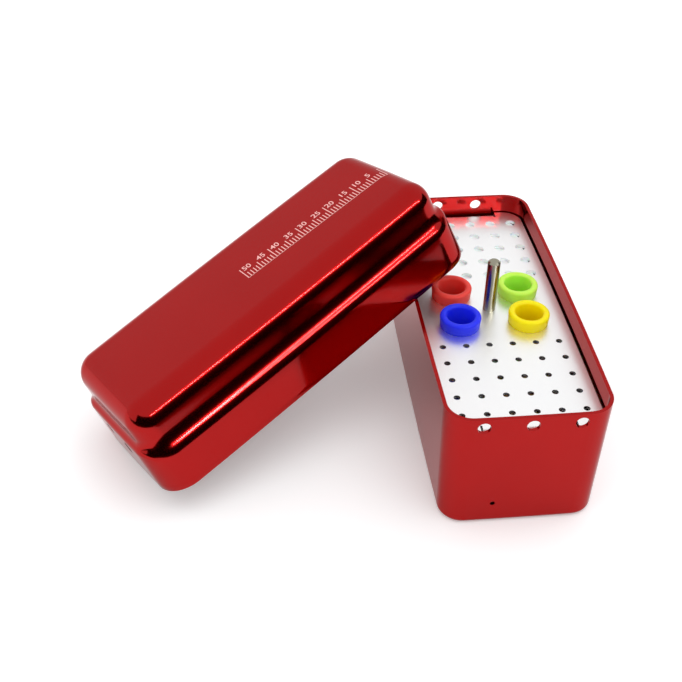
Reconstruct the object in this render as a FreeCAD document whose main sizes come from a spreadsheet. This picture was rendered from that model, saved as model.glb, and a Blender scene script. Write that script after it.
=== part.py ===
# Endodontic file holder: a drawn aluminium tub with a lift-out perforated rack, four silicone
# cups for stops, a steel lifting post, and a stepped lid that leans on the tub's rim.
# Millimetres. The origin is the middle of the tub's underside, +Z is up and the tub is long in Y.
import FreeCAD, Part
import math
import os
import Sketcher

SIZES = [
    ("tub_width", 44.7, "tub across its rim"),
    ("tub_length", 106.7, "tub along its rim"),
    ("tub_height", 37.8, "tub from the table to its rim"),
    ("wall", 1.0, "sheet of the tub and the lid"),
    ("corner_radius", 7.3, "upright corners at the rim"),
    ("side_bow", 0.55, "how far the long sides swell"),
    ("end_bow", 0.2, "how far the short sides swell"),
    ("tub_draft", 1.2, "lean of the tub's walls, degrees"),
    ("foot_radius", 1.8, "rounding under the tub"),
    ("vent_diameter", 3.5, "steam vents"),
    ("vent_pitch", 12.5, "between two vents"),
    ("vent_drop", 2.85, "vent centres below the rim"),
    ("drain_diameter", 1.3, "small hole low in the near end"),
    ("drain_side", 7.7, "drain off the middle"),
    ("drain_height", 7.3, "drain above the table"),
    ("plate_drop", 5.7, "top of the rack below the rim"),
    ("plate_thickness", 1.0, "sheet of the rack"),
    ("plate_gap", 0.5, "rack to tub wall"),
    ("leg_width", 24.0, "folded legs of the rack"),
    ("leg_relief", 0.6, "slots beside each leg"),
    ("leg_setback", 2.0, "depth of those slots"),
    ("leg_gap", 0.6, "leg to tub wall at the floor"),
    ("foot_length", 8.0, "turned-in foot of a leg"),
    ("bend_radius", 1.5, "outside of each fold"),
    ("file_hole_diameter", 1.8, "holes for files"),
    ("bur_hole_diameter", 3.1, "holes for burs and drills"),
    ("hole_columns", 6, "holes across the rack"),
    ("hole_rows", 5, "rows in each field"),
    ("side_margin", 4.35, "outer columns to the rack's edge"),
    ("end_margin", 6.85, "outer rows to the rack's ends"),
    ("first_row", 16.65, "middle of the rack to the first row"),
    ("guide_depth", 14.0, "top of the guide below the top of the rack"),
    ("guide_thickness", 0.8, "sheet of the guide"),
    ("guide_side_gap", 3.0, "guide to tub wall along the sides"),
    ("guide_flange", 5.0, "turned-down ends of the guide"),
    ("guide_bend_radius", 1.3, "outside of the guide's folds"),
    ("guide_fit", 0.02, "guide flange to leg"),
    ("rivet_margin", 4.0, "rivets to the sides of a leg"),
    ("rivet_diameter", 2.0, "rivet shank"),
    ("rivet_head_diameter", 3.4, "rivet head"),
    ("rivet_head_height", 0.5, "rivet head off the leg"),
    ("rivet_fit", 0.03, "rivet shank in its hole"),
    ("cup_diameter", 11.8, "cup rim"),
    ("cup_waist", 11.2, "cup collar where it meets the rack"),
    ("cup_bore", 7.9, "well of a cup"),
    ("cup_proud", 3.6, "cup above the rack"),
    ("cup_body_diameter", 10.2, "cup below the rack"),
    ("cup_fit", 0.15, "cup body in its hole"),
    ("cup_depth", 8.0, "cup below the top of the rack"),
    ("cup_floor", 1.2, "bottom of the well"),
    ("cup_rounding", 0.7, "rounded lip of a cup"),
    ("post_diameter", 3.6, "lifting post"),
    ("post_height", 16.5, "post above the rack"),
    ("post_chamfer", 0.5, "edge of the post's top"),
    ("stud_diameter", 2.5, "post through the rack"),
    ("stud_fit", 0.1, "stud in its holes"),
    ("stud_length", 4.6, "stud below the top of the rack"),
    ("washer_diameter", 6.0, "washer under the rack"),
    ("washer_thickness", 0.5, "washer"),
    ("nut_width", 5.0, "nut across its flats"),
    ("nut_height", 2.0, "nut"),
    ("lid_clearance", 0.25, "lid over the tub's rim"),
    ("skirt_height", 16.1, "open edge of the lid to its step"),
    ("crown_height", 11.25, "step of the lid to its top"),
    ("crown_step", 1.8, "width of the step"),
    ("lid_draft", 1.5, "lean of the lid's walls, degrees"),
    ("lid_vent_drop", 4.6, "lid's vents below its seat on the rim"),
    ("crown_radius", 6.3, "rounding round the lid's top"),
    ("ledge_radius", 1.3, "rounding outside the step"),
    ("step_radius", 0.8, "hollow inside the step"),
    ("inner_step_radius", 0.6, "rounding inside the step"),
    ("lean_turn", -60.1, "turn of the leaning lid in its own plane, degrees"),
    ("lean_down", 39.27, "rim to the lid's middle, down its slope"),
    ("lean_along", 2.3, "the lid's middle off the tub's, lengthwise"),
    ("lean_gap", 0.08, "the lid off the rim and the table"),
]


class Size:
    """A number and the spreadsheet formula that gives it."""

    def __init__(self, text, value):
        self.text = text
        self.value = value

    def __add__(self, other):
        other = sized(other)
        return Size(f"({self.text} + {other.text})", self.value + other.value)

    def __sub__(self, other):
        other = sized(other)
        return Size(f"({self.text} - {other.text})", self.value - other.value)

    def __mul__(self, other):
        other = sized(other)
        return Size(f"{self.text} * {other.text}", self.value * other.value)

    def __truediv__(self, other):
        other = sized(other)
        return Size(f"({self.text} / ({other.text}))", self.value / other.value)

    def __neg__(self):
        return Size(f"(-1 * {self.text})", -self.value)


def sized(value):
    return value if isinstance(value, Size) else Size(str(value), float(value))


def slope(angle):
    return Size(f"tan({angle.text})", math.tan(math.radians(angle.value)))


doc = FreeCAD.newDocument("FileHolder")
sheet = doc.addObject("Spreadsheet::Sheet", "Sizes")
S = {}
for row, (alias, number, note) in enumerate(SIZES, start=1):
    sheet.set(f"A{row}", note)
    sheet.set(f"B{row}", str(number))
    sheet.setAlias(f"B{row}", alias)
    S[alias] = Size(f"Sizes.{alias}", float(number))
doc.recompute()

ZERO = Size("0", 0.0)
MARGIN = Size("2", 2.0)
RIM = S["tub_height"]
FLOOR = S["wall"]
PLATE_TOP = RIM - S["plate_drop"]
PLATE_UNDER = PLATE_TOP - S["plate_thickness"]
PLATE_INSET = S["wall"] + S["plate_drop"] * slope(S["tub_draft"]) + S["plate_gap"]
PLATE_SIDE = S["tub_width"] / 2 - PLATE_INSET
PLATE_END = S["tub_length"] / 2 - PLATE_INSET
PITCH_ACROSS = (PLATE_SIDE - S["side_margin"]) * 2 / (S["hole_columns"] - 1)
PITCH_ALONG = (PLATE_END - S["end_margin"] - S["first_row"]) / (S["hole_rows"] - 1)
CUP_ACROSS = PITCH_ACROSS * 1.5
CUP_ALONG = PITCH_ALONG
FLOOR_LENGTH = S["tub_length"] / 2 - S["wall"] - (RIM - FLOOR) * slope(S["tub_draft"])
LEG_FACE = FLOOR_LENGTH - S["leg_gap"]
GUIDE_TOP = PLATE_TOP - S["guide_depth"]
RIVET_OFF = S["leg_width"] / 2 - S["rivet_margin"]
SIDE_ARC = (S["tub_length"] * S["tub_length"] / 4 + S["side_bow"] * S["side_bow"]) / (S["side_bow"] * 2)
END_ARC = (S["tub_width"] * S["tub_width"] / 4 + S["end_bow"] * S["end_bow"]) / (S["end_bow"] * 2)
CUPS = [
    ("cup_blue", -1, -1),
    ("cup_yellow", 1, -1),
    ("cup_green", 1, 1),
    ("cup_red", -1, 1),
]


def bind(thing, path, size):
    thing.setExpression(path, size.text)


def new_body(label):
    body = doc.addObject("PartDesign::Body", label)
    body.Label = label
    return body


def new_sketch(body, name, role, offset=ZERO):
    """A sketch on one of its body's own planes, moved along that plane's normal."""
    sketch = body.newObject("Sketcher::SketchObject", name)
    plane = [feature for feature in body.Origin.OriginFeatures if feature.Role == role][0]
    sketch.AttachmentSupport = [(plane, "")]
    sketch.MapMode = "FlatFace"
    sketch.AttachmentOffset = FreeCAD.Placement(FreeCAD.Vector(0, 0, offset.value), FreeCAD.Rotation())
    bind(sketch, ".AttachmentOffset.Base.z", offset)
    return sketch


def constrain(sketch, kind, *places, size=None):
    """Add a constraint; a sized one keeps its formula and, below zero, runs the other way."""
    if size is None:
        return sketch.addConstraint(Sketcher.Constraint(kind, *places))
    index = sketch.addConstraint(Sketcher.Constraint(kind, *places, size.value))
    bind(sketch, f"Constraints[{index}]", size)
    return index


def pin(sketch, geometry, point, across, up):
    """Hold one point of a sketch at a named distance from its origin both ways."""
    for kind, axis, size in (("DistanceX", -2, across), ("DistanceY", -1, up)):
        if abs(size.value) < 1e-9:
            constrain(sketch, "PointOnObject", geometry, point, axis)
        elif size.value > 0:
            constrain(sketch, kind, -1, 1, geometry, point, size=size)
        else:
            constrain(sketch, kind, geometry, point, -1, 1, size=-size)


def corner_centre():
    """Centre of an upright corner's arc: it meets the long side's arc and the end's arc smoothly."""
    side_x = S["tub_width"].value / 2 - SIDE_ARC.value
    end_y = S["tub_length"].value / 2 - END_ARC.value
    side_reach = SIDE_ARC.value - S["corner_radius"].value
    end_reach = END_ARC.value - S["corner_radius"].value
    span = math.hypot(side_x, end_y)
    along = (side_reach ** 2 - end_reach ** 2 + span ** 2) / (2 * span)
    off = math.sqrt(side_reach ** 2 - along ** 2)
    toward = (-side_x / span, end_y / span)
    return side_x + along * toward[0] - off * toward[1], along * toward[1] + off * toward[0]


def outline(body, name, level, inset):
    """The tub's rim as a closed sketch of eight tangent arcs, drawn inwards by the inset."""
    sketch = new_sketch(body, name, "XY_Plane", level)
    side = SIDE_ARC - inset
    end = END_ARC - inset
    corner = S["corner_radius"] - inset
    side_back = SIDE_ARC - S["tub_width"] / 2
    end_back = END_ARC - S["tub_length"] / 2
    centre_x, centre_y = corner_centre()
    low = math.atan2(centre_y, centre_x + side_back.value)
    high = math.atan2(centre_y + end_back.value, centre_x)
    turn = math.pi
    arcs = [
        (-side_back.value, 0, side, -low, low),
        (centre_x, centre_y, corner, low, high),
        (0, -end_back.value, end, high, turn - high),
        (-centre_x, centre_y, corner, turn - high, turn - low),
        (side_back.value, 0, side, turn - low, turn + low),
        (-centre_x, -centre_y, corner, turn + low, turn + high),
        (0, end_back.value, end, turn + high, 2 * turn - high),
        (centre_x, -centre_y, corner, 2 * turn - high, 2 * turn - low),
    ]
    up = FreeCAD.Vector(0, 0, 1)
    for x, y, radius, start, stop in arcs:
        circle = Part.Circle(FreeCAD.Vector(x, y, 0), up, radius.value)
        sketch.addGeometry(Part.ArcOfCircle(circle, start, stop), False)
    for index in range(8):
        constrain(sketch, "Tangent", index, 2, (index + 1) % 8, 1)
    for index, (x, y, radius, start, stop) in enumerate(arcs):
        constrain(sketch, "Radius", index, size=radius)
    pin(sketch, 0, 3, -side_back, ZERO)
    pin(sketch, 2, 3, ZERO, -end_back)
    pin(sketch, 4, 3, side_back, ZERO)
    pin(sketch, 6, 3, ZERO, end_back)
    return sketch


def polygon(sketch, points):
    """A closed outline of straight edges, each corner held at its named place."""
    corners = [FreeCAD.Vector(across.value, up.value, 0) for across, up in points]
    count = len(corners)
    for index in range(count):
        sketch.addGeometry(Part.LineSegment(corners[index], corners[(index + 1) % count]), False)
    for index, (across, up) in enumerate(points):
        constrain(sketch, "Coincident", index, 2, (index + 1) % count, 1)
        pin(sketch, index, 1, across, up)
    return sketch


def circles(sketch, diameter, places):
    """Equal circles in a sketch, each centre held at its named place."""
    up = FreeCAD.Vector(0, 0, 1)
    for across, along in places:
        centre = FreeCAD.Vector(across.value, along.value, 0)
        index = sketch.addGeometry(Part.Circle(centre, up, diameter.value / 2), False)
        constrain(sketch, "Diameter", index, size=diameter)
        pin(sketch, index, 3, across, along)
    return sketch


def rim_edges(feature, level, inset):
    """Names of the edges at this level that lie on the outline drawn inwards by the inset."""
    centre_x, centre_y = corner_centre()
    names = []
    for number, edge in enumerate(feature.Shape.Edges, start=1):
        box = edge.BoundBox
        if abs(box.ZMin - level) > 0.01 or abs(box.ZMax - level) > 0.01:
            continue
        middle = edge.valueAt((edge.FirstParameter + edge.LastParameter) / 2)
        x, y = abs(middle.x), abs(middle.y)
        offset = max(x - S["tub_width"].value / 2, y - S["tub_length"].value / 2)
        if x > centre_x and y > centre_y:
            offset = math.hypot(x - centre_x, y - centre_y) - S["corner_radius"].value
        if abs(offset + inset) < 0.3:
            names.append(f"Edge{number}")
    return names


def fillet(body, name, base, edges, radius):
    feature = body.newObject("PartDesign::Fillet", name)
    feature.Base = (base, edges)
    feature.Radius = radius.value
    bind(feature, "Radius", radius)
    doc.recompute()
    return feature


def pad(body, name, sketch, length, middle=False, reverse=False, taper=None):
    feature = body.newObject("PartDesign::Pad", name)
    feature.Profile = sketch
    feature.Length = length.value
    bind(feature, "Length", length)
    feature.Midplane = middle
    feature.Reversed = reverse
    if taper is not None:
        feature.TaperAngle = taper.value
        bind(feature, "TaperAngle", taper)
    doc.recompute()
    return feature


def pocket(body, name, sketch, length, middle=False, reverse=False, taper=None):
    """A cut that must take something away."""
    before = body.Tip.Shape.Volume
    feature = body.newObject("PartDesign::Pocket", name)
    feature.Profile = sketch
    feature.Length = length.value
    bind(feature, "Length", length)
    feature.Midplane = middle
    feature.Reversed = reverse
    if taper is not None:
        feature.TaperAngle = taper.value
        bind(feature, "TaperAngle", taper)
    doc.recompute()
    if before - feature.Shape.Volume < 0.1:
        raise RuntimeError(f"{name} of {body.Label} cuts nothing")
    return feature


def turned(body, name, points):
    """A piece turned about Z from half its section, given as distances out and up."""
    sketch = polygon(new_sketch(body, name + "Section", "XZ_Plane"), points)
    feature = body.newObject("PartDesign::Revolution", name)
    feature.Profile = sketch
    feature.ReferenceAxis = (sketch, ["V_Axis"])
    feature.Angle = 360
    doc.recompute()
    return feature


def vents(body, name, ends, height):
    """Round vents through the short walls: a count for each end, about its middle."""
    half_length = S["tub_length"] / 2
    for side, count in ends:
        places = []
        for index in range(count):
            places.append((S["vent_pitch"] * (index - (count - 1) / 2), height))
        reach = half_length + MARGIN * 2
        word = "Near" if side < 0 else "Far"
        sketch = circles(new_sketch(body, f"{name}{word}Circles", "XZ_Plane"), S["vent_diameter"], places)
        pocket(body, f"{name}{word}", sketch, reach, reverse=side < 0)


def base_tub():
    body = new_body("base_tub")
    lean = slope(S["tub_draft"])
    foot_inset = RIM * lean
    floor_inset = S["wall"] + (RIM - FLOOR) * lean
    foot = outline(body, "FootOutline", ZERO, foot_inset)
    shell = pad(body, "Outside", foot, RIM, taper=S["tub_draft"])
    fillet(body, "FootRounding", shell, rim_edges(shell, 0, foot_inset.value), S["foot_radius"])
    floor = outline(body, "FloorOutline", FLOOR, floor_inset)
    hollow = pocket(body, "Inside", floor, RIM - FLOOR, reverse=True, taper=S["tub_draft"])
    fillet(body, "FloorRounding", hollow, rim_edges(hollow, FLOOR.value, floor_inset.value),
           S["foot_radius"] - S["wall"])
    vents(body, "Vents", ((-1, 3), (1, 2)), RIM - S["vent_drop"])
    drain = circles(new_sketch(body, "DrainCircle", "XZ_Plane"), S["drain_diameter"],
                    [(-S["drain_side"], S["drain_height"])])
    pocket(body, "Drain", drain, S["tub_length"] / 2 + MARGIN, reverse=True)
    return body


def lid_shell():
    body = new_body("lid_shell")
    lean = slope(S["lid_draft"])
    ledge = S["skirt_height"]
    top = ledge + S["crown_height"]
    outer = -(S["lid_clearance"] + S["wall"])
    inner = -S["lid_clearance"]
    crown_outer = outer + S["crown_step"]
    crown_inner = crown_outer + S["wall"]
    rise = S["crown_height"] * lean
    flare = ledge * lean
    mouth = (ledge - S["wall"]) * lean
    draw = -S["lid_draft"]
    under = ledge - S["wall"]
    ceiling = top - S["wall"]
    pad(body, "Skirt", outline(body, "OpenOutline", ZERO, outer - flare), ledge, taper=draw)
    pad(body, "Crown", outline(body, "CrownFootOutline", ledge, crown_outer), S["crown_height"], taper=draw)
    pocket(body, "SkirtInside", outline(body, "MouthOutline", ZERO, inner - mouth), under, reverse=True,
           taper=draw)
    shell = pocket(body, "CrownInside", outline(body, "CrownMouthOutline", under, crown_inner),
                   S["crown_height"], reverse=True, taper=draw)
    for name, level, inset, radius in (
        ("CeilingRounding", ceiling, crown_inner + rise, S["crown_radius"] - S["wall"]),
        ("CrownRounding", top, crown_outer + rise, S["crown_radius"]),
        ("InnerStepRounding", under, crown_inner, S["inner_step_radius"]),
        ("StepHollow", ledge, crown_outer, S["step_radius"]),
        ("LedgeRounding", ledge, outer, S["ledge_radius"]),
    ):
        shell = fillet(body, name, shell, rim_edges(shell, level.value, inset.value), radius)
    vents(body, "Vents", ((-1, 2), (1, 3)), under - S["lid_vent_drop"])
    return body


def hole_field(body, name, diameter, side, top, thickness):
    """One hole at a corner of the field, then rows and columns of it."""
    half_row = PITCH_ACROSS * (S["hole_columns"] - 1) / 2
    start = S["first_row"] if side > 0 else -S["first_row"]
    sketch = circles(new_sketch(body, name + "Circle", "XY_Plane", top), diameter, [(-half_row, start)])
    first = pocket(body, name + "First", sketch, thickness)
    field = body.newObject("PartDesign::MultiTransform", name)
    field.Originals = [first]
    lines = []
    for word, axis, spacing, count, back in (
        ("Columns", "H_Axis", PITCH_ACROSS, S["hole_columns"], False),
        ("Rows", "V_Axis", PITCH_ALONG, S["hole_rows"], side < 0),
    ):
        line = body.newObject("PartDesign::LinearPattern", name + word)
        line.Direction = (sketch, [axis])
        line.Reversed = back
        line.Mode = "Spacing"
        bind(line, "Offset", spacing)
        bind(line, "Occurrences", count)
        lines.append(line)
    field.Transformations = lines
    body.Tip = field
    doc.recompute()
    return field


def folded_ends(body, name, face, top, thickness, start, foot, width, radius):
    """Sheet folded down at both ends of a level plate, with its lower end turned in if it has a foot."""
    inner = face - thickness
    for side, word in ((-1, "Near"), (1, "Far")):
        points = [(start, top), (face, top)]
        if foot is None:
            bottom = top - thickness - S["guide_flange"]
            points += [(face, bottom), (inner, bottom)]
        else:
            toe = face - foot
            points += [(face, FLOOR), (toe, FLOOR), (toe, FLOOR + thickness), (inner, FLOOR + thickness)]
        points += [(inner, top - thickness), (start, top - thickness)]
        placed = [(along if side > 0 else -along, up) for along, up in points]
        sketch = polygon(new_sketch(body, name + word + "Section", "YZ_Plane"), placed)
        leg = pad(body, name + word, sketch, width, middle=True)
        folds = [(face, top, radius), (inner, top - thickness, radius - thickness)]
        if foot is not None:
            folds += [(face, FLOOR, radius), (inner, FLOOR + thickness, radius - thickness)]
        for number, (along, up, bend) in enumerate(folds, start=1):
            names = cross_edges(leg, side * along.value, up.value, width.value)
            leg = fillet(body, f"{name}{word}Fold{number}", leg, names, bend)


def cross_edges(feature, along, up, width):
    """Names of the edges that run straight across the part at this place."""
    names = []
    for number, edge in enumerate(feature.Shape.Edges, start=1):
        box = edge.BoundBox
        here = abs(box.YMin - along) < 0.01 and abs(box.YMax - along) < 0.01
        here = here and abs(box.ZMin - up) < 0.01 and abs(box.ZMax - up) < 0.01
        if here and abs(box.XLength - width) < 0.01:
            names.append(f"Edge{number}")
    return names


def rivet_places(side):
    up = GUIDE_TOP - S["guide_thickness"] - S["guide_flange"] / 2
    return [(RIVET_OFF * hand, up) for hand in (-1, 1)]


def rivet_holes(body):
    """Holes for the rivets through both folded ends."""
    diameter = S["rivet_diameter"] + S["rivet_fit"] * 2
    for side, word in ((-1, "Near"), (1, "Far")):
        sketch = circles(new_sketch(body, f"Rivets{word}Circles", "XZ_Plane"), diameter, rivet_places(side))
        pocket(body, f"Rivets{word}", sketch, S["tub_length"] / 2, reverse=side < 0)


def file_rack():
    body = new_body("file_rack")
    thickness = S["plate_thickness"]
    plate = outline(body, "PlateOutline", PLATE_UNDER, PLATE_INSET)
    pad(body, "Plate", plate, thickness)
    notch_half = S["leg_width"] / 2 + S["leg_relief"]
    notch_start = LEG_FACE - S["leg_setback"]
    for side, word in ((-1, "Near"), (1, "Far")):
        corners = [
            (-notch_half, notch_start),
            (notch_half, notch_start),
            (notch_half, S["tub_length"] / 2),
            (-notch_half, S["tub_length"] / 2),
        ]
        placed = [(across, along if side > 0 else -along) for across, along in corners]
        notch = polygon(new_sketch(body, f"Notch{word}Outline", "XY_Plane", PLATE_TOP), placed)
        pocket(body, f"Notch{word}", notch, thickness)
    folded_ends(body, "Leg", LEG_FACE, PLATE_TOP, thickness, notch_start - S["leg_relief"],
                S["foot_length"], S["leg_width"], S["bend_radius"])
    cup_hole = S["cup_body_diameter"] + S["cup_fit"] * 2
    cups = [(CUP_ACROSS * x, CUP_ALONG * y) for label, x, y in CUPS]
    sketch = circles(new_sketch(body, "CupCircles", "XY_Plane", PLATE_TOP), cup_hole, cups)
    pocket(body, "CupHoles", sketch, thickness)
    stud_hole = S["stud_diameter"] + S["stud_fit"] * 2
    sketch = circles(new_sketch(body, "StudCircle", "XY_Plane", PLATE_TOP), stud_hole, [(ZERO, ZERO)])
    pocket(body, "StudHole", sketch, thickness)
    rivet_holes(body)
    hole_field(body, "FileHoles", S["file_hole_diameter"], -1, PLATE_TOP, thickness)
    hole_field(body, "BurHoles", S["bur_hole_diameter"], 1, PLATE_TOP, thickness)
    return body


def guide_plate():
    """The lower plate: file shafts pass through its near field and burs stand on its far half."""
    body = new_body("guide_plate")
    thickness = S["guide_thickness"]
    face = LEG_FACE - S["plate_thickness"] - S["guide_fit"]
    half_width = PLATE_SIDE - S["guide_side_gap"]
    straight = face - S["leg_setback"]
    corners = [
        (-half_width, -straight),
        (half_width, -straight),
        (half_width, straight),
        (-half_width, straight),
    ]
    sketch = polygon(new_sketch(body, "GuideOutline", "XY_Plane", GUIDE_TOP - thickness), corners)
    pad(body, "Guide", sketch, thickness)
    folded_ends(body, "Flange", face, GUIDE_TOP, thickness, straight - S["leg_relief"], None,
                S["leg_width"], S["guide_bend_radius"])
    rivet_holes(body)
    hole_field(body, "GuideHoles", S["file_hole_diameter"], -1, GUIDE_TOP, thickness)
    return body


def rivet(label, across, side):
    """A round-headed rivet lying along Y, its head outside the leg and its shank through the guide."""
    body = new_body(label)
    grip = S["plate_thickness"] + S["guide_fit"] + S["guide_thickness"]
    shank = S["rivet_diameter"] / 2
    head = S["rivet_head_diameter"] / 2
    turned(body, "Rivet", [
        (ZERO, ZERO),
        (head, ZERO),
        (shank, S["rivet_head_height"]),
        (ZERO, S["rivet_head_height"]),
    ])
    sketch = circles(new_sketch(body, "ShankCircle", "XY_Plane"), S["rivet_diameter"], [(ZERO, ZERO)])
    pad(body, "Shank", sketch, grip + S["rivet_head_height"], reverse=True)
    sketch = circles(new_sketch(body, "TailCircle", "XY_Plane", -grip), S["rivet_head_diameter"],
                     [(ZERO, ZERO)])
    pad(body, "Tail", sketch, S["rivet_head_height"], reverse=True)
    height = (GUIDE_TOP - S["guide_thickness"] - S["guide_flange"] / 2).value
    place = FreeCAD.Vector(across * RIVET_OFF.value, side * LEG_FACE.value, height)
    body.Placement = FreeCAD.Placement(place, FreeCAD.Rotation(FreeCAD.Vector(1, 0, 0), -90 * side))
    bind(body, ".Placement.Base.x", RIVET_OFF * across)
    bind(body, ".Placement.Base.y", LEG_FACE * side)
    bind(body, ".Placement.Base.z", GUIDE_TOP - S["guide_thickness"] - S["guide_flange"] / 2)
    return body


def lifting_post():
    body = new_body("lifting_post")
    radius = S["post_diameter"] / 2
    stud = S["stud_diameter"] / 2
    top = PLATE_TOP + S["post_height"]
    bottom = PLATE_TOP - S["stud_length"]
    turned(body, "Post", [
        (ZERO, bottom),
        (stud, bottom),
        (stud, PLATE_TOP),
        (radius, PLATE_TOP),
        (radius, top - S["post_chamfer"]),
        (radius - S["post_chamfer"], top),
        (ZERO, top),
    ])
    return body


def post_washer():
    body = new_body("post_washer")
    inside = S["stud_diameter"] / 2 + S["stud_fit"]
    outside = S["washer_diameter"] / 2
    under = PLATE_UNDER - S["washer_thickness"]
    turned(body, "Washer", [
        (inside, under),
        (outside, under),
        (outside, PLATE_UNDER),
        (inside, PLATE_UNDER),
    ])
    return body


def post_nut():
    body = new_body("post_nut")
    top = PLATE_UNDER - S["washer_thickness"]
    across = S["nut_width"] / 2
    side = S["nut_width"] / (2 * math.sqrt(3))
    corners = [
        (side * 2, ZERO),
        (side, across),
        (-side, across),
        (-side * 2, ZERO),
        (-side, -across),
        (side, -across),
    ]
    sketch = polygon(new_sketch(body, "NutOutline", "XY_Plane", top - S["nut_height"]), corners)
    pad(body, "Nut", sketch, S["nut_height"])
    bore = S["stud_diameter"] + S["stud_fit"]
    sketch = circles(new_sketch(body, "NutCircle", "XY_Plane", top), bore, [(ZERO, ZERO)])
    pocket(body, "NutBore", sketch, S["nut_height"])
    return body


def silicone_cup(label, across, along):
    """A pot for silicone stops: thick collar on the rack, plain body through it, blind well."""
    body = new_body(label)
    rim = PLATE_TOP + S["cup_proud"]
    bottom = PLATE_TOP - S["cup_depth"]
    well = S["cup_bore"] / 2
    cup = turned(body, "Cup", [
        (ZERO, bottom),
        (S["cup_body_diameter"] / 2, bottom),
        (S["cup_body_diameter"] / 2, PLATE_TOP),
        (S["cup_waist"] / 2, PLATE_TOP),
        (S["cup_diameter"] / 2, rim),
        (well, rim),
        (well, bottom + S["cup_floor"]),
        (ZERO, bottom + S["cup_floor"]),
    ])
    lip = []
    for number, edge in enumerate(cup.Shape.Edges, start=1):
        box = edge.BoundBox
        if abs(box.ZMin - rim.value) < 0.01 and abs(box.ZMax - rim.value) < 0.01:
            lip.append(f"Edge{number}")
    fillet(body, "Lip", cup, lip, S["cup_rounding"])
    body.Placement = FreeCAD.Placement(
        FreeCAD.Vector(CUP_ACROSS.value * across, CUP_ALONG.value * along, 0),
        FreeCAD.Rotation())
    bind(body, ".Placement.Base.x", CUP_ACROSS * across)
    bind(body, ".Placement.Base.y", CUP_ALONG * along)
    return body


def lean_on_rim(lid):
    """Tilt the lid about the tub's left rim until its lowest corner comes down to the table."""
    turn = FreeCAD.Rotation(FreeCAD.Vector(0, 0, 1), S["lean_turn"].value)
    opened = lid.Shape.copy()
    opened.Placement = FreeCAD.Placement(FreeCAD.Vector(0, 0, 0), turn)
    bottom = [face for face in opened.Faces if abs(face.BoundBox.ZMax) < 0.01][0]
    reach = S["lean_down"].value - bottom.BoundBox.XMin
    height = RIM.value
    tilt = math.asin(height / reach)
    slope_way = FreeCAD.Vector(-math.cos(tilt), 0, -math.sin(tilt))
    contact = FreeCAD.Vector(-S["tub_width"].value / 2, S["lean_along"].value, height + S["lean_gap"].value)
    tip = FreeCAD.Rotation(FreeCAD.Vector(0, 1, 0), -math.degrees(tilt))
    lid.Placement = FreeCAD.Placement(contact + slope_way * S["lean_down"].value, tip.multiply(turn))
    doc.recompute()
    print(f"lid leans at {math.degrees(tilt):.2f} degrees")


parts = [base_tub(), file_rack(), guide_plate()]
for side, word in ((-1, "near"), (1, "far")):
    for across, hand in ((-1, "left"), (1, "right")):
        parts.append(rivet(f"rivet_{word}_{hand}", across, side))
parts += [lifting_post(), post_washer(), post_nut()]
parts += [silicone_cup(label, across, along) for label, across, along in CUPS]
lid = lid_shell()
lean_on_rim(lid)
parts.append(lid)
doc.recompute()

for thing in doc.Objects:
    if "Invalid" in thing.State or "Error" in thing.State:
        raise RuntimeError(f"{thing.Label} failed: {thing.State}")

os.makedirs("parts", exist_ok=True)
triangles = 0
for body in parts:
    shape = body.Shape
    if shape.isNull() or not shape.isValid() or len(shape.Solids) != 1:
        raise RuntimeError(f"{body.Label} is not one valid solid")
    shape.exportStep(f"parts/{body.Label}.step")
    facets = len(shape.tessellate(max(0.01, shape.BoundBox.DiagonalLength * 0.0002))[1])
    triangles += facets
    box = shape.BoundBox
    print(f"{body.Label}: {shape.Volume:.1f} mm3, {facets} triangles, "
          f"x {box.XMin:.2f} {box.XMax:.2f}, y {box.YMin:.2f} {box.YMax:.2f}, z {box.ZMin:.2f} {box.ZMax:.2f}")
print(f"{len(parts)} pieces, {triangles} triangles")
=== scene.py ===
# File holder with a leaning red lid, an open tub, a perforated rack and four silicone cups.
# Everything is in metres, on the frame that the CAD part gives: tub at the origin, +Z up.
import math

import bmesh
import bpy
from mathutils import Matrix, Vector
from mathutils.bvhtree import BVHTree
from mathutils.interpolate import poly_3d_calc


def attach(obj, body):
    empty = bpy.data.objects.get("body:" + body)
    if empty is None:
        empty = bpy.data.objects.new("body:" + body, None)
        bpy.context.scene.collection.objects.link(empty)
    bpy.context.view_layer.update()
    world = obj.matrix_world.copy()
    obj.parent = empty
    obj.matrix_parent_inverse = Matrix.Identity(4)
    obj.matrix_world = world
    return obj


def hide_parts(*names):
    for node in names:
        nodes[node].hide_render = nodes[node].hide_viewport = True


mm = 0.001


def addObject(name, data):
    obj = bpy.data.objects.new(name, data)
    bpy.context.scene.collection.objects.link(obj)
    return obj


def takeMesh(obj):
    # the plain mesh of an object with its modifiers or its text worked out; the object goes
    evaluated = obj.evaluated_get(bpy.context.evaluated_depsgraph_get())
    mesh = bpy.data.meshes.new_from_object(evaluated)
    bpy.data.objects.remove(obj)
    return mesh


def skinOf(mesh):
    points = [v.co.copy() for v in mesh.vertices]
    return BVHTree.FromPolygons(points, [tuple(f.vertices) for f in mesh.polygons])


def cameraAxes(azimuth, elevation, roll):
    # camera axes for a view from that azimuth and elevation, rolled about its own line of sight
    a, e = math.radians(azimuth), math.radians(elevation)
    back = Vector((math.sin(a) * math.cos(e), -math.cos(a) * math.cos(e), math.sin(e)))
    right = Vector((math.cos(a), math.sin(a), 0))
    up = back.cross(right)
    c, s = math.cos(math.radians(roll)), math.sin(math.radians(roll))
    return Matrix((right * c + up * s, up * c - right * s, back)).transposed()


def emptyMaterial(name):
    mat = bpy.data.materials.new(name)
    mat.use_nodes = True
    tree = mat.node_tree
    tree.nodes.clear()
    return mat, tree, tree.nodes.new("ShaderNodeOutputMaterial")


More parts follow.
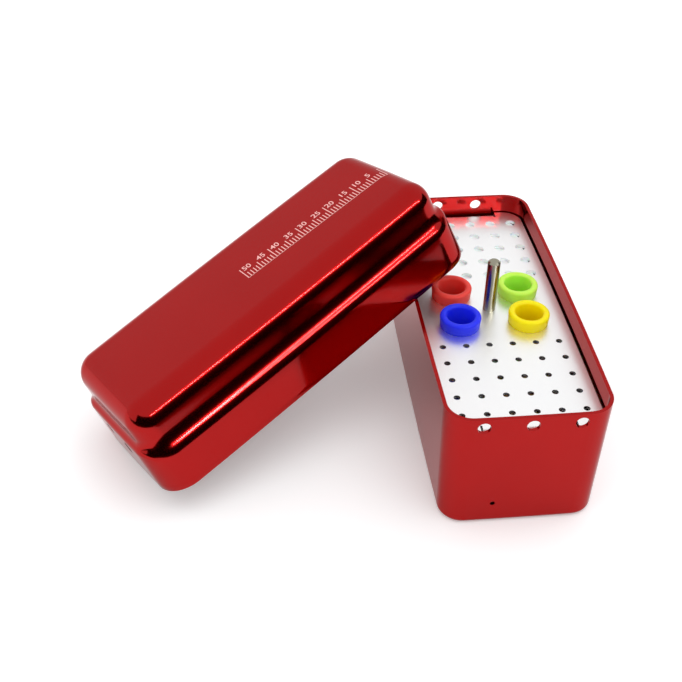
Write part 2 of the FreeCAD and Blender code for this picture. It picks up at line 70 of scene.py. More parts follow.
def newMaterial(name, values):
    mat, tree, out = emptyMaterial(name)
    shader = tree.nodes.new("ShaderNodeBsdfPrincipled")
    tree.links.new(shader.outputs[0], out.inputs["Surface"])
    for socket, value in values.items():
        shader.inputs[socket].default_value = value
    return mat, tree, shader


def mathNode(tree, operation, first, second):
    # either side is a number or another node's output
    node = tree.nodes.new("ShaderNodeMath")
    node.operation = operation
    for socket, value in zip(node.inputs, (first, second)):
        if isinstance(value, (int, float)):
            socket.default_value = value
        else:
            tree.links.new(value, socket)
    return node.outputs[0]


def objectNoise(tree, scale, detail):
    coords = tree.nodes.new("ShaderNodeTexCoord")
    noise = tree.nodes.new("ShaderNodeTexNoise")
    noise.inputs["Scale"].default_value = scale
    noise.inputs["Detail"].default_value = detail
    tree.links.new(coords.outputs["Object"], noise.inputs["Vector"])
    return noise.outputs["Fac"]


def rampFrom(tree, source, stops):
    ramp = tree.nodes.new("ShaderNodeValToRGB")
    for element, (position, color) in zip(ramp.color_ramp.elements, stops):
        element.position, element.color = position, color
    tree.links.new(source, ramp.inputs["Fac"])
    return ramp.outputs[0]


def rangeFrom(tree, source, low, high):
    node = tree.nodes.new("ShaderNodeMapRange")
    node.inputs["To Min"].default_value = low
    node.inputs["To Max"].default_value = high
    tree.links.new(source, node.inputs["Value"])
    return node.outputs[0]


def addGrain(tree, shader, grain):
    # fine unevenness of the surface, and its noise for other uses
    noise = objectNoise(tree, grain["scale"], grain["detail"])
    bump = tree.nodes.new("ShaderNodeBump")
    bump.inputs["Strength"].default_value = grain["strength"]
    bump.inputs["Distance"].default_value = grain["depth"]
    tree.links.new(noise, bump.inputs["Height"])
    tree.links.new(bump.outputs[0], shader.inputs["Normal"])
    return noise


redAnodised = {
    "color": (0.385, 0.0022, 0.0019, 1),
    "colorDeep": (0.365, 0.0018, 0.0016, 1),
    "cloudScale": 60.0,       # slow change of the dye over the surface
    "cloudDetail": 3.0,
    "cloudStops": (0.3, 0.7),
    "roughness": (0.14, 0.17),
    "edgeTint": (0.68, 0.5, 0.5, 1),  # the dye swallows more where it is seen along its surface
    "coatWeight": 0.3,
    "coatRoughness": 0.06,
    "grain": {"scale": 4000.0, "detail": 2.0, "strength": 0.05, "depth": 0.01 * mm},
}


def makeRedAnodised():
    mat, tree, shader = newMaterial("redAnodised", {
        "Metallic": 1.0,
        "Specular Tint": redAnodised["edgeTint"],
        "Coat Weight": redAnodised["coatWeight"],
        "Coat Roughness": redAnodised["coatRoughness"],
    })
    cloud = objectNoise(tree, redAnodised["cloudScale"], redAnodised["cloudDetail"])
    colors = (redAnodised["colorDeep"], redAnodised["color"])
    ramp = rampFrom(tree, cloud, tuple(zip(redAnodised["cloudStops"], colors)))
    tree.links.new(ramp, shader.inputs["Base Color"])
    rough = rangeFrom(tree, cloud, *redAnodised["roughness"])
    tree.links.new(rough, shader.inputs["Roughness"])
    addGrain(tree, shader, redAnodised["grain"])
    return mat


bareMetal = {
    "rackAluminium": {"color": (0.96, 0.962, 0.965, 1), "roughness": 0.36},
    "rivetAluminium": {"color": (0.82, 0.82, 0.83, 1), "roughness": 0.35},
    "postSteel": {"color": (0.30, 0.285, 0.22, 1), "roughness": 0.22},
    "spread": 0.15,           # share that the roughness changes by, up and down
    "grain": {"scale": 3000.0, "detail": 2.0, "strength": 0.05, "depth": 0.02 * mm},
}


def makeMetal(name):
    metal, spread = bareMetal[name], bareMetal["spread"]
    mat, tree, shader = newMaterial(name, {"Base Color": metal["color"], "Metallic": 1.0})
    grain = addGrain(tree, shader, bareMetal["grain"])
    low, high = metal["roughness"] * (1 - spread), metal["roughness"] * (1 + spread)
    tree.links.new(rangeFrom(tree, grain, low, high), shader.inputs["Roughness"])
    return mat


cups = {
    "red": {"color": (0.9, 0.07, 0.055, 1), "glow": (0.7, 0.02, 0.02)},
    "green": {"color": (0.55, 1.0, 0.10, 1), "glow": (0.35, 1.0, 0.1)},
    "blue": {"color": (0.02, 0.035, 0.95, 1), "glow": (0.02, 0.04, 1.0)},
    "yellow": {"color": (1.0, 0.77, 0.0, 1), "glow": (1.0, 0.7, 0.0)},
}
cupSilicone = {
    "roughness": 0.42,
    "specular": 0.2,
    "glowWeight": 0.5,        # share of the light that goes through the silicone
    "glowDepth": 6 * mm,
    "grain": {"scale": 900.0, "detail": 2.0, "strength": 0.1, "depth": 0.05 * mm},
}


def makeSilicone(name, cup):
    mat, tree, shader = newMaterial("silicone" + name.capitalize(), {
        "Base Color": cup["color"],
        "Roughness": cupSilicone["roughness"],
        "Specular IOR Level": cupSilicone["specular"],
        "Subsurface Weight": cupSilicone["glowWeight"],
        "Subsurface Radius": cup["glow"],
        "Subsurface Scale": cupSilicone["glowDepth"],
    })
    addGrain(tree, shader, cupSilicone["grain"])
    return mat


engraving = {
    "color": (0.95, 0.47, 0.44, 1),
    "roughness": 0.5,
    "grain": {"scale": 2500.0, "detail": 3.0, "strength": 0.1, "depth": 0.05 * mm},
}


def makeEngraving():
    mat, tree, shader = newMaterial("engravedMarks", {
        "Base Color": engraving["color"], "Roughness": engraving["roughness"]})
    addGrain(tree, shader, engraving["grain"])
    return mat


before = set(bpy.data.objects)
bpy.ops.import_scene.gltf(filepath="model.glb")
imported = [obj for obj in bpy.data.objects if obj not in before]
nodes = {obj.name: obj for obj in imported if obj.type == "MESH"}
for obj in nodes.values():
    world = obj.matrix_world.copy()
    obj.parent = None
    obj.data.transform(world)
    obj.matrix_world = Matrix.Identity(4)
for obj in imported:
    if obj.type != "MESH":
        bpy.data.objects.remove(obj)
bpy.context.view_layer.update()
print("frame loaded,", len(nodes), "nodes")

finishes = {
    "anodised": makeRedAnodised(),
    "rack": makeMetal("rackAluminium"),
    "rivet": makeMetal("rivetAluminium"),
    "steel": makeMetal("postSteel"),
    "marks": makeEngraving(),
}
for cupName, cup in cups.items():
    finishes[cupName] = makeSilicone(cupName, cup)


def finishOf(node):
    if node.startswith("cup_"):
        return node[len("cup_"):]
    if node.startswith("rivet"):
        return "rivet"
    if node in ("file_rack", "guide_plate"):
        return "rack"
    if node in ("lifting_post", "post_washer", "post_nut"):
        return "steel"
    return "anodised"


for nodeName, node in nodes.items():
    node.data.materials.clear()
    node.data.materials.append(finishes[finishOf(nodeName)])
print("finishes on the CAD nodes")


def lidAxes(lid, upward=0.5, flatness=0.1 * mm):
    # the lid's flat top gives its place: near side, long axis toward the raised end, normal, centre
    groups = {}
    for face in lid.data.polygons:
        normal = face.normal
        if normal.z < upward:
            continue
        key = (round(normal.x, 2), round(normal.y, 2), round(normal.z, 2))
        groups.setdefault(key, []).append(face)
    flat = max(groups.values(), key=lambda faces: sum(f.area for f in faces))
    normal = sum((f.normal * f.area for f in flat), Vector()).normalized()
    high = max(f.center.dot(normal) for f in flat)
    top = [f for f in flat if f.center.dot(normal) > high - flatness]
    area = sum(f.area for f in top)
    centre = sum((f.center * f.area for f in top), Vector()) / area
    side = normal.cross(Vector((0, 0, 1))).normalized()
    other = normal.cross(side)
    a = b = c = 0.0
    for f in top:  # second moments of the flat, summed over its triangles
        corners = [lid.data.vertices[i].co - centre for i in f.vertices]
        xs, ys = [p.dot(side) for p in corners], [p.dot(other) for p in corners]
        a += f.area * (sum(xs) ** 2 + sum(x * x for x in xs))
        b += f.area * (sum(ys) ** 2 + sum(y * y for y in ys))
        c += f.area * (sum(xs) * sum(ys) + sum(x * y for x, y in zip(xs, ys)))
    angle = 0.5 * math.atan2(2 * c, a - b)
    long = side * math.cos(angle) + other * math.sin(angle)
    if long.z < 0:
        long = -long
    near = long.cross(normal)
    return Matrix((near, long, normal)).transposed().to_4x4(), centre


lidTurn, lidTop = lidAxes(nodes["lid_shell"])
lidPlace = Matrix.Translation(lidTop) @ lidTurn
print("lid top at", [round(v / mm, 2) for v in lidTop])


# lid shell: the step between skirt and crown is soft along the sides and sharper round the ends
lidShell = {
    "halfWidth": 22.35 * mm,      # of the tub's rim, which the lid's outline follows
    "halfLength": 53.35 * mm,
    "corner": 7.3 * mm,
    "sideBow": 0.55 * mm,
    "endBow": 0.2 * mm,
    "outside": 1.25 * mm,         # skirt outside the rim, at the height of the step
    "wall": 1.0 * mm,
    "draft": 1.5,                 # degrees
    "stepHeight": 16.1 * mm,
    "stepWidth": 1.8 * mm,
    "height": 27.35 * mm,
    "crownRadius": 6.3 * mm,
    # height where the wall starts to turn, degrees off upright at its steepest, and both bends
    "softStep": {"start": 11.2 * mm, "slope": 30.8, "outer": 5.3 * mm, "inner": 7.4 * mm},
    "sharpStep": {"start": 13.4 * mm, "slope": 47.0, "outer": 2.3 * mm, "inner": 3.3 * mm},
    "fade": (0.62, 0.97),         # lengthwise part of the way outwards, from soft to sharp
    "lip": 0.12 * mm,             # rounding of the open edge
    "lipCut": 0.3,                # share of the rounding that its middle point is cut back by
    "ventRadius": 1.75 * mm,
    "ventHeight": 10.5 * mm,
    "ventPitch": 12.5 * mm,
    "ventPlaces": {-1: (-0.5, 0.5), 1: (-1, 0, 1)},  # low end and raised end, in pitches
    "ventDepth": 9 * mm,          # length of the punch
    "ventSides": 40,
    "cornerPoints": 20,
    "sidePoints": 44,
    "endPoints": 26,
    "skirtRings": 6,
    "bendRings": 10,
    "crownRings": 3,
    "topRings": 20,
    "skinNear": 0.02 * mm,        # a face this near to the plain shell, and turned as it is,
    "skinTurn": 0.8,              # takes its shading from it
}


def rimOutline():
    # points of the eight tangent arcs and the way outwards at each
    w, h, r = lidShell["halfWidth"], lidShell["halfLength"], lidShell["corner"]
    sideArc = (h * h + lidShell["sideBow"] ** 2) / (2 * lidShell["sideBow"])
    endArc = (w * w + lidShell["endBow"] ** 2) / (2 * lidShell["endBow"])
    sideBack, endBack = sideArc - w, endArc - h
    x, y = w - r, h - r
    for _ in range(40):  # the corner's centre settles one corner radius inside both arcs
        x = math.sqrt((sideArc - r) ** 2 - y * y) - sideBack
        y = math.sqrt((endArc - r) ** 2 - x * x) - endBack
    low, high, pi = math.atan2(y, x + sideBack), math.atan2(y + endBack, x), math.pi
    side, corner, end = (lidShell[k] for k in ("sidePoints", "cornerPoints", "endPoints"))
    arcs = [
        (-sideBack, 0, sideArc, -low, low, side),
        (x, y, r, low, high, corner),
        (0, -endBack, endArc, high, pi - high, end),
        (-x, y, r, pi - high, pi - low, corner),
        (sideBack, 0, sideArc, pi - low, pi + low, side),
        (-x, -y, r, pi + low, pi + high, corner),
        (0, endBack, endArc, pi + high, 2 * pi - high, end),
        (x, -y, r, 2 * pi - high, 2 * pi - low, corner),
    ]
    rim = []
    for cx, cy, radius, start, stop, count in arcs:
        for i in range(count):
            a = start + (stop - start) * i / count
            out = Vector((math.cos(a), math.sin(a), 0))
            rim.append((Vector((cx, cy, 0)) + out * radius, out))
    return rim


def lidProfile(bend):
    # (inset from the rim, height, lean of the wall off upright) from the open edge to the flat top
    lean, slope = math.radians(lidShell["draft"]), math.radians(bend["slope"])
    step, top, start = lidShell["stepHeight"], lidShell["height"], bend["start"]
    inset, z = -lidShell["outside"] - (step - start) * math.tan(lean), start
    path, rings = [], lidShell["skirtRings"]
    for i in range(rings + 1):
        share = i / rings
        path.append((inset - start * math.tan(lean) * (1 - share), start * share, lean))

    def arc(radius, first, last, count):
        # walks along a bend whose wall turns from one lean to another
        nonlocal inset, z
        turn = 1 if last > first else -1
        x0, z0 = inset, z
        for i in range(1, count + 1):
            a = first + (last - first) * i / count
            inset = x0 + turn * radius * (math.cos(first) - math.cos(a))
            z = z0 + turn * radius * (math.sin(a) - math.sin(first))
            path.append((inset, z, a))

    def crownWall(height):
        return -lidShell["outside"] + lidShell["stepWidth"] + (height - step) * math.tan(lean)

    hollow, rings = bend["inner"], lidShell["bendRings"]
    arc(bend["outer"], lean, slope, rings)
    run = crownWall(z + hollow * math.sin(slope)) - inset
    run -= hollow * (math.cos(lean) - math.cos(slope))
    length = run / (math.sin(slope) - math.cos(slope) * math.tan(lean))
    inset, z = inset + length * math.sin(slope), z + length * math.cos(slope)
    path.append((inset, z, slope))
    arc(hollow, slope, lean, rings)
    radius, rings = lidShell["crownRadius"], lidShell["crownRings"]
    crown = top - radius * (1 - math.sin(lean))
    for i in range(1, rings + 1):
        height = z + (crown - z) * i / rings
        path.append((inset + (height - z) * math.tan(lean), height, lean))
    inset, z = path[-1][0], crown
    arc(radius, lean, math.pi / 2, lidShell["topRings"])
    return path


def lidRings(bend):
    # inset and height of each ring, up the inside, round the open edge and up the outside
    path = lidProfile(bend)
    wall, lip = lidShell["wall"], lidShell["lip"]
    cut = lip * lidShell["lipCut"]
    outer = [(inset, z) for inset, z, _ in path]
    inner = [(inset + wall * math.cos(a), z - wall * math.sin(a)) for inset, z, a in path]
    outside, inside = outer[0][0], inner[0][0]
    openEdge = [
        (inside, lip), (inside - cut, cut), (inside - lip, 0),
        (outside + lip, 0), (outside + cut, cut), (outside, lip),
    ]
    return list(reversed(inner[1:])) + openEdge + outer[1:]


def plainLid():
    rim = rimOutline()
    low, high = lidShell["fade"]
    shares = [max(0, min(1, (abs(out.y) - low) / (high - low))) for _, out in rim]
    shares = [share * share * (3 - 2 * share) for share in shares]
    rings = list(zip(lidRings(lidShell["softStep"]), lidRings(lidShell["sharpStep"])))
    verts = []
    for soft, sharp in rings:
        for (point, out), share in zip(rim, shares):
            inset, z = (a + (b - a) * share for a, b in zip(soft, sharp))
            verts.append(point - out * inset + Vector((0, 0, z)))
    count = len(rim)
    faces = []
    for k in range(len(rings) - 1):
        below, above = k * count, (k + 1) * count
        for i in range(count):
            j = (i + 1) % count
            faces.append((below + i, below + j, above + j, above + i))
    last = (len(rings) - 1) * count
    faces.append(tuple(reversed(range(count))))
    faces.append(tuple(range(last, last + count)))
    mesh = bpy.data.meshes.new("lidShell")
    mesh.from_pydata(verts, [], faces)
    mesh.update()
    mesh.shade_smooth()
    return mesh


def punchVents(plain):
    punch = bmesh.new()
    radius = lidShell["ventRadius"]
    for side, places in lidShell["ventPlaces"].items():
        for place in places:
            spot = Matrix.Translation((
                place * lidShell["ventPitch"], side * lidShell["halfLength"],
                lidShell["ventHeight"]))
            bmesh.ops.create_cone(
                punch, cap_ends=True, segments=lidShell["ventSides"], radius1=radius,
                radius2=radius, depth=lidShell["ventDepth"],
                matrix=spot @ Matrix.Rotation(math.pi / 2, 4, "X"))
    punchMesh = bpy.data.meshes.new("ventPunch")
    punch.to_mesh(punchMesh)
    punch.free()
    knife = addObject("ventPunch", punchMesh)
    lid = addObject("lidShell", plain)
    vents = lid.modifiers.new("vents", "BOOLEAN")
    vents.operation, vents.solver, vents.object = "DIFFERENCE", "EXACT", knife
    punched = takeMesh(lid)
    bpy.data.objects.remove(knife)
    return punched


def shellNormals(plain, punched):
    # shading of the plain shell for the shell with its vents, so that no dent shows round them
    skin = skinOf(plain)
    faces = [(tuple(f.vertices), f.normal.copy()) for f in plain.polygons]
    points = [v.co.copy() for v in plain.vertices]
    pointNormals = [v.normal.copy() for v in plain.vertices]
    normals = []
    for face in punched.polygons:
        _, _, index, distance = skin.find_nearest(face.center)
        alike = abs(face.normal.dot(faces[index][1])) > lidShell["skinTurn"]
        onSkin = distance < lidShell["skinNear"] and alike
        for loop in face.loop_indices:
            if not onSkin:
                normals.append(face.normal)
                continue
            point = punched.vertices[punched.loops[loop].vertex_index].co
            spot, _, index, _ = skin.find_nearest(point)
            corners, flatNormal = faces[index]
            if len(corners) > 4:  # the flat top, inside or outside
                normals.append(flatNormal)
                continue
            weights = poly_3d_calc([points[c] for c in corners], spot)
            mixed = sum((pointNormals[c] * w for c, w in zip(corners, weights)), Vector())
            normals.append(mixed.normalized())
    return normals


def makeLid():
    plain = plainLid()
    punched = punchVents(plain)
    normals = shellNormals(plain, punched)
    punched.shade_smooth()
    punched.normals_split_custom_set(normals)
    punched.transform(lidPlace @ Matrix.Translation((0, 0, -lidShell["height"])))
    punched.name = "lidShell"
    made = addObject("lidShell", punched)
    made.data.materials.clear()
    made.data.materials.append(finishes["anodised"])
    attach(made, "lid")
    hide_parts("lid_shell")
    return made


lid = makeLid()
print("lid shell,", len(lid.data.polygons), "faces")


# white silicone sheet that grips the burs, close under the far half of the rack
burPad = {
    "halfWidth": 17.6 * mm,
    "near": 14.3 * mm,
    "far": 47.2 * mm,
    "top": 31.07 * mm,
    "thickness": 0.9 * mm,
    "corner": 2.5 * mm,
    "cornerSteps": 8,
    "edge": 0.15 * mm,
    "edgeSteps": 2,
    "color": (0.93, 0.93, 0.92, 1),
    "roughness": 0.55,
    "glowWeight": 0.3,
    "glowDepth": 2 * mm,
    "grain": {"scale": 1200.0, "detail": 2.0, "strength": 0.15, "depth": 0.05 * mm},
}


def makeBurPad():
    mat, tree, shader = newMaterial("padSilicone", {
        "Base Color": burPad["color"],
        "Roughness": burPad["roughness"],
        "Subsurface Weight": burPad["glowWeight"],
        "Subsurface Scale": burPad["glowDepth"],
    })
    addGrain(tree, shader, burPad["grain"])
    bm = bmesh.new()
    r, steps = burPad["corner"], burPad["cornerSteps"]
    right, back, front = burPad["halfWidth"] - r, burPad["far"] - r, burPad["near"] + r
    centres = ((right, back, 0), (-right, back, 90), (-right, front, 180), (right, front, 270))
    bottom = burPad["top"] - burPad["thickness"]
    ring = []
    for x, y, start in centres:
        for i in range(steps + 1):
            a = math.radians(start + 90 * i / steps)
            ring.append(bm.verts.new((x + r * math.cos(a), y + r * math.sin(a), bottom)))
    face = bm.faces.new(ring)
    lifted = bmesh.ops.extrude_face_region(bm, geom=[face])
    top = [v for v in lifted["geom"] if isinstance(v, bmesh.types.BMVert)]
    bmesh.ops.translate(bm, verts=top, vec=(0, 0, burPad["thickness"]))
    bmesh.ops.recalc_face_normals(bm, faces=bm.faces)
    mesh = bpy.data.meshes.new("burPad")
    bm.to_mesh(mesh)
    bm.free()
    mesh.materials.append(mat)
    pad = addObject("burPad", mesh)
    soften = pad.modifiers.new("edge", "BEVEL")
    soften.width, soften.segments = burPad["edge"], burPad["edgeSteps"]
    soften.limit_method = "ANGLE"
    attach(pad, "rack")


makeBurPad()
print("sheet under the rack")


# ruler on the lid, 0 at the raised end
ruler = {
    "zero": 48.95 * mm,       # 0 mark from the lid's middle, toward the raised end
    "base": 3.47 * mm,        # lower end of the 50 mark, toward the near side
    "slant": 1.9,             # degrees off the lid's long axis
    "long": 6.0 * mm,         # every tenth mark
    "medium": 3.9 * mm,       # every fifth
    "short": 2.8 * mm,
    "stroke": 0.27 * mm,
    "line": 0.16 * mm,        # width of the line along the marks' lower ends
    "last": 50,
    "step": 1.0 * mm,
    "lift": 0.03 * mm,
    "labelEvery": 5,
    "digit": 3.1 * mm,
    "digitBold": 0.035 * mm,
    "digitSqueeze": 0.9,
    "digitRounding": 3,
    "digitFoot": 4.15 * mm,   # the numbers' lower edge above the marks' lower ends
    "digitStart": 0.65 * mm,  # a number starts just past its mark
}


def geometryTree(name, sockets):
    tree = bpy.data.node_groups.new(name, "GeometryNodeTree")
    tree.interface.new_socket("Geometry", in_out="OUTPUT", socket_type="NodeSocketGeometry")
    for label, kind in sockets:
        tree.interface.new_socket(label, in_out="INPUT", socket_type=kind)
    return tree, tree.nodes.new("NodeGroupInput"), tree.nodes.new("NodeGroupOutput")


def switchNode(tree, condition, whenFalse, whenTrue):
    node = tree.nodes.new("GeometryNodeSwitch")
    node.input_type = "FLOAT"
    tree.links.new(condition, node.inputs["Switch"])
    tree.links.new(whenFalse, node.inputs["False"])
    tree.links.new(whenTrue, node.inputs["True"])
    return node.outputs[0]


def everyNth(tree, index, count):
    return mathNode(tree, "LESS_THAN", mathNode(tree, "MODULO", index, count), 0.5)


def makeRulerTree():
    # a line of points, a flat stroke on each, longer on every fifth and longest on every tenth
    tree, given, out = geometryTree("rulerMarks", [
        ("Count", "NodeSocketInt"), ("Step", "NodeSocketFloat"), ("Stroke", "NodeSocketFloat"),
        ("Short", "NodeSocketFloat"), ("Medium", "NodeSocketFloat"), ("Long", "NodeSocketFloat"),
        ("Ink", "NodeSocketMaterial"),
    ])
    line = tree.nodes.new("GeometryNodeMeshLine")
    line.mode = "OFFSET"
    tree.links.new(given.outputs["Count"], line.inputs["Count"])
    offset = tree.nodes.new("ShaderNodeCombineXYZ")
    back = mathNode(tree, "MULTIPLY", given.outputs["Step"], -1.0)
    tree.links.new(back, offset.inputs["Y"])
    tree.links.new(offset.outputs[0], line.inputs["Offset"])

    index = tree.nodes.new("GeometryNodeInputIndex").outputs[0]
    short, medium, long = (given.outputs[k] for k in ("Short", "Medium", "Long"))
    length = switchNode(tree, everyNth(tree, index, 5.0), short, medium)
    length = switchNode(tree, everyNth(tree, index, 10.0), length, long)
    scale = tree.nodes.new("ShaderNodeCombineXYZ")
    tree.links.new(length, scale.inputs["X"])
    tree.links.new(given.outputs["Stroke"], scale.inputs["Y"])
    scale.inputs["Z"].default_value = 1.0

    stroke = tree.nodes.new("GeometryNodeMeshGrid")
    for label, value in (("Size X", 1.0), ("Size Y", 1.0), ("Vertices X", 2), ("Vertices Y", 2)):
        stroke.inputs[label].default_value = value
    shift = tree.nodes.new("GeometryNodeTransform")
    shift.inputs["Translation"].default_value = (-0.5, 0, 0)
    tree.links.new(stroke.outputs["Mesh"], shift.inputs["Geometry"])

    place = tree.nodes.new("GeometryNodeInstanceOnPoints")
    tree.links.new(line.outputs["Mesh"], place.inputs["Points"])
    tree.links.new(shift.outputs[0], place.inputs["Instance"])
    tree.links.new(scale.outputs[0], place.inputs["Scale"])
    real = tree.nodes.new("GeometryNodeRealizeInstances")
    ink = tree.nodes.new("GeometryNodeSetMaterial")
    tree.links.new(place.outputs[0], real.inputs[0])
    tree.links.new(real.outputs[0], ink.inputs["Geometry"])
    tree.links.new(given.outputs["Ink"], ink.inputs["Material"])
    tree.links.new(ink.outputs[0], out.inputs[0])
    return tree


def bakeTree(name, tree, values):
    # run a tree with those inputs and keep the result as a plain mesh
    holder = addObject(name + "Holder", bpy.data.meshes.new(name + "Holder"))
    modifier = holder.modifiers.new(name, "NODES")
    modifier.node_group = tree
    for item in tree.interface.items_tree:
        if item.in_out == "INPUT" and item.name in values:
            modifier[item.identifier] = values[item.name]
    holder.update_tag()
    mesh = takeMesh(holder)
    while mesh.materials[0] is None:  # the holder's own empty slot
        mesh.materials.pop(index=0)
    return addObject(name, mesh)


def textMesh(words):
    curve = bpy.data.curves.new("label" + words, "FONT")
    curve.body, curve.size, curve.align_x = words, ruler["digit"], "LEFT"
    curve.resolution_u = ruler["digitRounding"]
    curve.offset = ruler["digitBold"]
    return takeMesh(addObject("label" + words, curve))


def joinMeshes(name, meshes, material):
    verts, faces = [], []
    for mesh in meshes:
        start = len(verts)
        verts += [v.co.copy() for v in mesh.vertices]
        faces += [[start + i for i in f.vertices] for f in mesh.polygons]
    joined = bpy.data.meshes.new(name)
    joined.from_pydata(verts, [], faces)
    joined.materials.append(material)
    return addObject(name, joined)


rulerLength = ruler["last"] * ruler["step"]
rulerStart = Matrix.Translation((ruler["base"], ruler["zero"] - rulerLength, 0))
rulerTurn = Matrix.Rotation(math.radians(-ruler["slant"]), 4, "Z")
rulerPlace = lidPlace @ rulerStart @ rulerTurn  # its origin is the lower end of the last mark
lidSkin = skinOf(lid.data)


def layOnLid(mesh, place, above=10 * mm):
    # drops each point on the lid's surface, so that the marks follow its rounded end
    down = -(lidTurn.to_3x3() @ Vector((0, 0, 1)))
    for vertex in mesh.vertices:
        point = rulerPlace @ place @ vertex.co
        hit, normal, _, _ = lidSkin.ray_cast(point - down * above, down)
        vertex.co = hit + normal * ruler["lift"] if hit else point


def makeLabel(value):
    mesh = textMesh(str(value))
    along = (ruler["last"] - value) * ruler["step"] + ruler["digitStart"]
    place = Matrix.Translation((-ruler["digitFoot"], along, 0))
    readAlong = Matrix.Rotation(math.pi / 2, 4, "Z")  # letters run toward the raised end
    squeeze = Matrix.Scale(ruler["digitSqueeze"], 4, (1, 0, 0))
    layOnLid(mesh, place @ readAlong @ squeeze)
    return mesh


def makeBaseLine():
    mesh = bpy.data.meshes.new("rulerLine")
    half, last = ruler["line"] / 2, ruler["last"]
    points = [(x, rulerLength * i / last, 0) for i in range(last + 1) for x in (-half, half)]
    faces = [(2 * i, 2 * i + 1, 2 * i + 3, 2 * i + 2) for i in range(last)]
    mesh.from_pydata(points, [], faces)
    layOnLid(mesh, Matrix())
    return mesh


marks = bakeTree("rulerMarks", makeRulerTree(), {
    "Count": ruler["last"] + 1, "Step": ruler["step"], "Stroke": ruler["stroke"],
    "Short": ruler["short"], "Medium": ruler["medium"], "Long": ruler["long"],
    "Ink": finishes["marks"],
})
layOnLid(marks.data, Matrix.Translation((0, rulerLength, 0)))
every = ruler["labelEvery"]
labelMeshes = [makeLabel(value) for value in range(every, ruler["last"] + 1, every)]
labels = joinMeshes("rulerNumbers", labelMeshes + [makeBaseLine()], finishes["marks"])
for piece in (marks, labels):
    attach(piece, "lid")
print("ruler engraved")


# floor, light and the dark things that the metal mirrors
studio = {
    "floorHalf": 3.0,
    "floorColor": (0.95, 0.95, 0.955, 1),
    "floorGlow": 0.20,        # added only to what camera and mirror rays see
    "skyLevel": 0.98,         # light that falls on the object from all round
    "boxPlace": (0.25, -0.1, 1.1),
    "boxTarget": (0, 0, 0.02),
    "boxSize": (0.8, 0.8),
    "boxPower": 2.2,
    "stripAzimuth": (112, 168),
    "stripElevation": 37.5,
    "stripRadius": 1.3,
    "stripTarget": (0, 0, 0.03),
    "stripWidth": 0.03,
    "stripPower": 6.0,
    "cardRadius": 1.2,        # dark side of the room, behind the camera
    "cardAzimuth": (62, 232),
    "cardTop": 0.68,
    "cardSteps": 24,
    "cardColor": (0.010, 0.009, 0.010, 1),
    "clothStart": -0.105,     # dark cloth that the table's white sheet ends at
    "clothLift": 0.5 * mm,
}


def makeFloor():
    mesh = bpy.data.meshes.new("floor")
    half = studio["floorHalf"]
    corners = [(-half, -half, 0), (half, -half, 0), (half, half, 0), (-half, half, 0)]
    mesh.from_pydata(corners, [], [(0, 1, 2, 3)])
    mat, tree, out = emptyMaterial("paleFloor")
    matte = tree.nodes.new("ShaderNodeBsdfDiffuse")
    matte.inputs["Color"].default_value = studio["floorColor"]
    glow = tree.nodes.new("ShaderNodeEmission")
    rays = tree.nodes.new("ShaderNodeLightPath").outputs
    seen = mathNode(tree, "MAXIMUM", rays["Is Camera Ray"], rays["Is Glossy Ray"])
    strength = mathNode(tree, "MULTIPLY", seen, studio["floorGlow"])
    tree.links.new(strength, glow.inputs["Strength"])
    add = tree.nodes.new("ShaderNodeAddShader")
    tree.links.new(matte.outputs[0], add.inputs[0])
    tree.links.new(glow.outputs[0], add.inputs[1])
    tree.links.new(add.outputs[0], out.inputs["Surface"])
    mesh.materials.append(mat)
    addObject("floor", mesh)


def makeWorld():
    # white where it is seen or mirrored, a little less where it lights the object
    world = bpy.data.worlds.new("studio")
    bpy.context.scene.world = world
    world.use_nodes = True
    tree = world.node_tree
    tree.nodes.clear()
    out = tree.nodes.new("ShaderNodeOutputWorld")
    mix = tree.nodes.new("ShaderNodeMixShader")
    for socket, level in ((1, studio["skyLevel"]), (2, 1.0)):
        sky = tree.nodes.new("ShaderNodeBackground")
        sky.inputs["Color"].default_value = (1, 1, 1, 1)
        sky.inputs["Strength"].default_value = level
        tree.links.new(sky.outputs[0], mix.inputs[socket])
    rays = tree.nodes.new("ShaderNodeLightPath").outputs
    seen = mathNode(tree, "MAXIMUM", rays["Is Camera Ray"], rays["Is Glossy Ray"])
    seen = mathNode(tree, "MAXIMUM", seen, rays["Is Transmission Ray"])
    tree.links.new(seen, mix.inputs["Fac"])
    tree.links.new(mix.outputs[0], out.inputs["Surface"])


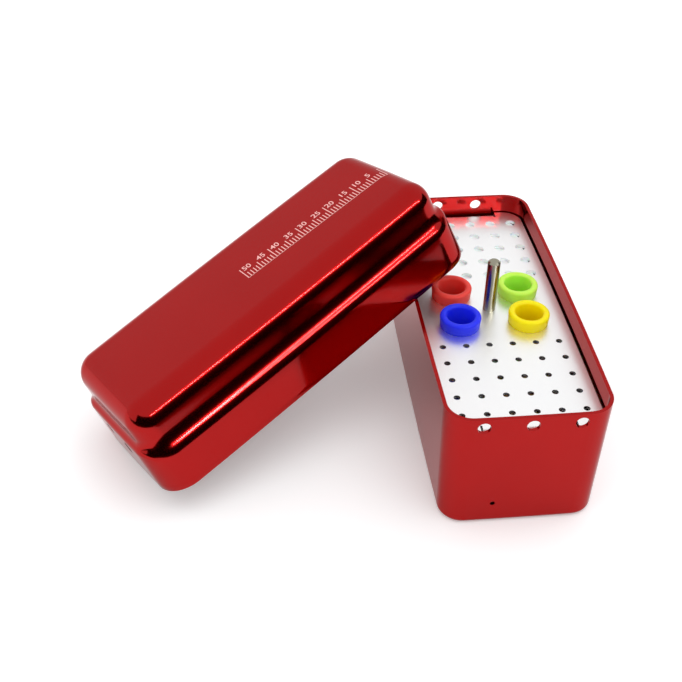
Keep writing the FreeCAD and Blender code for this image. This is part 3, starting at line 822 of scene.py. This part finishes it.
def makeDarkSide():
    # a curved dark screen and a dark cloth at the camera's side, seen only in what metal mirrors
    radius, steps = studio["cardRadius"], studio["cardSteps"]
    low, high = studio["cardAzimuth"]
    verts, faces = [], []
    for i in range(steps + 1):
        a = math.radians(low + (high - low) * i / steps)
        x, y = radius * math.sin(a), radius * math.cos(a)
        verts += [(x, y, 0), (x, y, studio["cardTop"])]
        if i:
            faces.append((2 * i - 2, 2 * i, 2 * i + 1, 2 * i - 1))
    start, lift, first = studio["clothStart"], studio["clothLift"], len(verts)
    verts += [(-radius, -radius, lift), (radius, -radius, lift),
              (radius, start, lift), (-radius, start, lift)]
    faces.append((first, first + 1, first + 2, first + 3))
    mesh = bpy.data.meshes.new("darkSide")
    mesh.from_pydata(verts, [], faces)
    mat, tree, out = emptyMaterial("darkCloth")
    matte = tree.nodes.new("ShaderNodeBsdfDiffuse")
    matte.inputs["Color"].default_value = studio["cardColor"]
    tree.links.new(matte.outputs[0], out.inputs["Surface"])
    mesh.materials.append(mat)
    card = addObject("darkSide", mesh)
    card.visible_camera = card.visible_shadow = card.visible_diffuse = False


def areaLight(name, place, target, size, power):
    light = bpy.data.lights.new(name, "AREA")
    light.shape = "RECTANGLE"
    light.size, light.size_y = size
    light.energy = power
    lamp = addObject(name, light)
    lamp.location = place
    aim = Vector(target) - Vector(place)
    lamp.rotation_euler = aim.to_track_quat("-Z", "Y").to_euler()
    return lamp


def makeSoftBox():
    lamp = areaLight("softBox", studio["boxPlace"], studio["boxTarget"],
                     studio["boxSize"], studio["boxPower"])
    lamp.visible_glossy = False


def makeStripLight():
    # a narrow window-like strip that draws the bright line along the lid's rounded edges
    low, high = studio["stripAzimuth"]
    middle, rise = math.radians((low + high) / 2), math.radians(studio["stripElevation"])
    reach = studio["stripRadius"]
    level = reach * math.cos(rise)
    place = (level * math.sin(middle), level * math.cos(middle), reach * math.sin(rise))
    width = 2 * level * math.tan(math.radians((high - low) / 2))
    lamp = areaLight("stripLight", place, studio["stripTarget"],
                     (width, studio["stripWidth"]), studio["stripPower"])
    lamp.visible_diffuse = False


view = {
    "place": (-70.37 * mm, -247.93 * mm, 219.59 * mm),
    "azimuth": -6.342,
    "elevation": 38.245,
    "roll": 0.891,
    "focal": 1092.75,         # in pixels of a picture that is 682 pixels across
    "pixels": 682,
    "sensor": 36,
    "clip": (0.01, 20),
}


def makeCamera():
    data = bpy.data.cameras.new("camera")
    data.sensor_width = view["sensor"]
    data.lens = view["focal"] * view["sensor"] / view["pixels"]
    data.clip_start, data.clip_end = view["clip"]
    camera = addObject("camera", data)
    turn = cameraAxes(view["azimuth"], view["elevation"], view["roll"])
    camera.matrix_world = Matrix.Translation(view["place"]) @ turn.to_4x4()
    bpy.context.scene.camera = camera


makeFloor()
makeWorld()
makeDarkSide()
makeSoftBox()
makeStripLight()
makeCamera()
bpy.context.scene.view_settings.view_transform = "Standard"
print("floor, light and camera")
